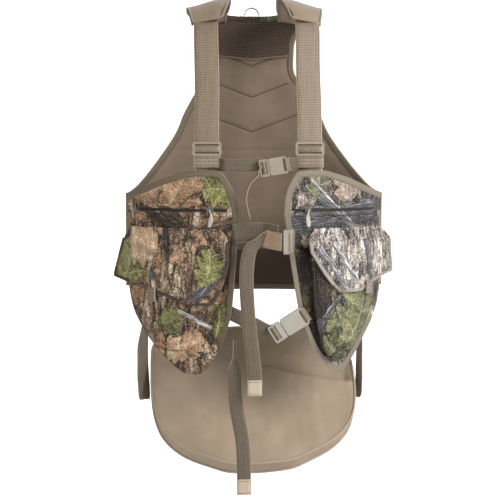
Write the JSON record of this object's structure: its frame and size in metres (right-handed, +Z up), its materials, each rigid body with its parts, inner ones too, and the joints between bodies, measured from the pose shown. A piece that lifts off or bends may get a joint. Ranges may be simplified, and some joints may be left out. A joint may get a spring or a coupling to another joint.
{
  "type": "hunting strap vest with seat",
  "caption": "Camouflage strap vest for hunting, with front cargo pockets, buckled chest and waist webbing and a padded drop-down seat hung below the back.",
  "frame": {"origin": "inside top of the hang loop at the nape, on the centre line", "axes": "+X towards the wearer's left (camera right), +Y towards the back, +Z up, as the vest hangs"},
  "size_m": [0.558, 0.3736, 0.9774],
  "materials": {
    "back_lining": "tan coated nylon, fine plain weave",
    "back_foam": "closed-cell foam",
    "back_shell": "printed woodland-pattern polyester, matt woven",
    "mesh_panel": "dark brown spacer mesh",
    "game_bag": "printed woodland-pattern polyester, matt woven",
    "collar_band": "printed woodland-pattern polyester, matt woven",
    "hang_loop": "tan ribbed webbing",
    "armhole_binding_left": "tan grosgrain binding tape",
    "armhole_binding_right": "tan grosgrain binding tape",
    "hem_binding": "tan grosgrain binding tape",
    "shoulder_pad_left": "tan coated nylon, fine plain weave",
    "shoulder_pad_right": "tan coated nylon, fine plain weave",
    "shoulder_yoke_left": "printed woodland-pattern polyester, matt woven",
    "shoulder_yoke_right": "printed woodland-pattern polyester, matt woven",
    "shoulder_strap_left": "tan ribbed webbing",
    "shoulder_strap_right": "tan ribbed webbing",
    "strap_tab_left": "tan ribbed webbing",
    "strap_tab_right": "tan ribbed webbing",
    "strap_adjuster_left": "tan moulded acetal, satin",
    "strap_adjuster_right": "tan moulded acetal, satin",
    "front_panel_left": "printed woodland-pattern polyester, matt woven",
    "front_panel_right": "printed woodland-pattern polyester, matt woven",
    "front_binding_left": "tan grosgrain binding tape",
    "front_binding_right": "tan grosgrain binding tape",
    "zip_track_left": "dark zip tape with moulded coil",
    "zip_track_right": "dark zip tape with moulded coil",
    "zip_slider_left": "grey enamelled snap and slider",
    "zip_slider_right": "grey enamelled snap and slider",
    "zip_cord_left": "cream cord with moulded end",
    "zip_cord_right": "cream cord with moulded end",
    "cargo_pocket_left": "printed woodland-pattern polyester, matt woven",
    "cargo_pocket_right": "printed woodland-pattern polyester, matt woven",
    "flap_left": "printed woodland-pattern polyester, matt woven",
    "flap_right": "printed woodland-pattern polyester, matt woven",
    "pull_tab_left": "tan ribbed webbing",
    "pull_tab_right": "tan ribbed webbing",
    "snap_cap_left": "grey enamelled snap and slider",
    "snap_cap_right": "grey enamelled snap and slider",
    "snap_studs": "grey enamelled snap and slider",
    "sternum_strap": "tan ribbed webbing",
    "sternum_tail": "tan ribbed webbing",
    "sternum_plug": "tan moulded acetal, satin",
    "sternum_socket": "tan moulded acetal, satin",
    "sternum_anchor": "tan ribbed webbing",
    "upper_waist_strap": "tan ribbed webbing",
    "upper_waist_tail": "tan ribbed webbing",
    "upper_waist_plug": "tan moulded acetal, satin",
    "upper_waist_socket": "tan moulded acetal, satin",
    "lower_waist_strap": "tan ribbed webbing",
    "lower_waist_tail": "tan ribbed webbing",
    "lower_waist_plug": "tan moulded acetal, satin",
    "lower_waist_socket": "tan moulded acetal, satin",
    "seat_cover": "tan coated nylon, fine plain weave",
    "seat_boxing": "tan coated nylon, fine plain weave",
    "seat_foam": "closed-cell foam",
    "seat_base": "tan coated nylon, fine plain weave",
    "seat_hanger_left": "tan ribbed webbing",
    "seat_hanger_right": "tan ribbed webbing"
  },
  "bodies": {
    "root": {"back_lining": "back_lining", "back_foam": "back_foam", "back_shell": "back_shell", "mesh_panel": "mesh_panel", "game_bag": "game_bag", "collar_band": "collar_band", "hang_loop": "hang_loop", "armhole_binding_left": "armhole_binding_left", "armhole_binding_right": "armhole_binding_right", "hem_binding": "hem_binding", "shoulder_pad_left": "shoulder_pad_left", "shoulder_pad_right": "shoulder_pad_right", "shoulder_yoke_left": "shoulder_yoke_left", "shoulder_yoke_right": "shoulder_yoke_right", "shoulder_strap_left": "shoulder_strap_left", "shoulder_strap_right": "shoulder_strap_right", "strap_tab_left": "strap_tab_left", "strap_tab_right": "strap_tab_right", "front_panel_left": "front_panel_left", "front_panel_right": "front_panel_right", "front_binding_left": "front_binding_left", "front_binding_right": "front_binding_right", "zip_track_left": "zip_track_left", "zip_track_right": "zip_track_right", "cargo_pocket_left": "cargo_pocket_left", "cargo_pocket_right": "cargo_pocket_right", "snap_studs": "snap_studs", "sternum_strap": "sternum_strap", "sternum_socket": "sternum_socket", "sternum_anchor": "sternum_anchor", "upper_waist_strap": "upper_waist_strap", "upper_waist_socket": "upper_waist_socket", "lower_waist_strap": "lower_waist_strap", "lower_waist_socket": "lower_waist_socket"},
    "seat_hangers": {"seat_hanger_left": "seat_hanger_left", "seat_hanger_right": "seat_hanger_right"},
    "seat": {"seat_cover": "seat_cover", "seat_boxing": "seat_boxing", "seat_foam": "seat_foam", "seat_base": "seat_base"},
    "left_flap": {"flap_left": "flap_left", "snap_cap_left": "snap_cap_left", "pull_tab_left": "pull_tab_left"},
    "right_flap": {"flap_right": "flap_right", "snap_cap_right": "snap_cap_right", "pull_tab_right": "pull_tab_right"},
    "left_slider": {"zip_slider_left": "zip_slider_left"},
    "right_slider": {"zip_slider_right": "zip_slider_right"},
    "left_cord": {"zip_cord_left": "zip_cord_left"},
    "right_cord": {"zip_cord_right": "zip_cord_right"},
    "left_adjuster": {"strap_adjuster_left": "strap_adjuster_left"},
    "right_adjuster": {"strap_adjuster_right": "strap_adjuster_right"},
    "chest_plug": {"sternum_plug": "sternum_plug"},
    "chest_tail": {"sternum_tail": "sternum_tail"},
    "upper_plug": {"upper_waist_plug": "upper_waist_plug"},
    "upper_tail": {"upper_waist_tail": "upper_waist_tail"},
    "lower_plug": {"lower_waist_plug": "lower_waist_plug"},
    "lower_tail": {"lower_waist_tail": "lower_waist_tail"}
  },
  "joints": [
    {"name": "seat_swing", "type": "hinge", "parent": "root", "child": "seat_hangers", "pos_m": [0, -0.073, -0.622], "axis": [1, 0, 0], "range_deg": [-4, 50], "stiffness_Nm_per_rad": 2},
    {"name": "seat_tilt", "type": "hinge", "parent": "seat_hangers", "child": "seat", "pos_m": [0, -0.083, -0.798], "axis": [1, 0, 0], "range_deg": [-40, 80], "stiffness_Nm_per_rad": 6},
    {"name": "left_flap_lift", "type": "hinge", "parent": "root", "child": "left_flap", "pos_m": [-0.18831, -0.25893, -0.47], "axis": [-0.8192, 0.5736, 0], "range_deg": [0, 150]},
    {"name": "right_flap_lift", "type": "hinge", "parent": "root", "child": "right_flap", "pos_m": [0.19297, -0.2556, -0.47], "axis": [-0.809, -0.5878, 0], "range_deg": [0, 150]},
    {"name": "left_zip_travel", "type": "hinge", "parent": "root", "child": "left_slider", "pos_m": [0, 0.01, -0.418], "axis": [0, 0, 1], "range_deg": [-32, 3]},
    {"name": "right_zip_travel", "type": "hinge", "parent": "root", "child": "right_slider", "pos_m": [0, 0.01, -0.418], "axis": [0, 0, 1], "range_deg": [-3, 32]},
    {"name": "left_cord_swing", "type": "hinge", "parent": "left_slider", "child": "left_cord", "pos_m": [-0.09607, -0.28221, -0.417], "axis": [-0.95, 0.3123, 0], "range_deg": [0, 60]},
    {"name": "right_cord_swing", "type": "hinge", "parent": "right_slider", "child": "right_cord", "pos_m": [0.09607, -0.28221, -0.417], "axis": [-0.95, -0.3123, 0], "range_deg": [0, 60]},
    {"name": "left_strap_adjust", "type": "slide", "parent": "root", "child": "left_adjuster", "axis": [0, 0.2079, 0.9781], "range_m": [0, 0.06]},
    {"name": "right_strap_adjust", "type": "slide", "parent": "root", "child": "right_adjuster", "axis": [0, 0.2079, 0.9781], "range_m": [0, 0.06]},
    {"name": "chest_release", "type": "slide", "parent": "root", "child": "chest_plug", "axis": [-0.9877, 0, -0.1564], "range_m": [0, 0.026], "stiffness_N_per_m": 40},
    {"name": "upper_waist_release", "type": "slide", "parent": "root", "child": "upper_plug", "axis": [-0.2588, -0.9659, 0], "range_m": [0, 0.028], "stiffness_N_per_m": 40},
    {"name": "lower_waist_release", "type": "slide", "parent": "root", "child": "lower_plug", "axis": [-0.848, 0, -0.5299], "range_m": [0, 0.036], "stiffness_N_per_m": 40},
    {"name": "chest_tail_swing", "type": "hinge", "parent": "chest_plug", "child": "chest_tail", "pos_m": [-0.004, -0.2985, -0.352], "axis": [0, 1, 0], "range_deg": [-30, 6]},
    {"name": "upper_tail_swing", "type": "hinge", "parent": "upper_plug", "child": "upper_tail", "pos_m": [-0.007, -0.323, -0.488], "axis": [-1, 0, 0], "range_deg": [0, 40]},
    {"name": "lower_tail_swing", "type": "hinge", "parent": "root", "child": "lower_tail", "pos_m": [-0.048, -0.299, -0.662], "axis": [-1, 0, 0], "range_deg": [0, 38]}
  ]
}
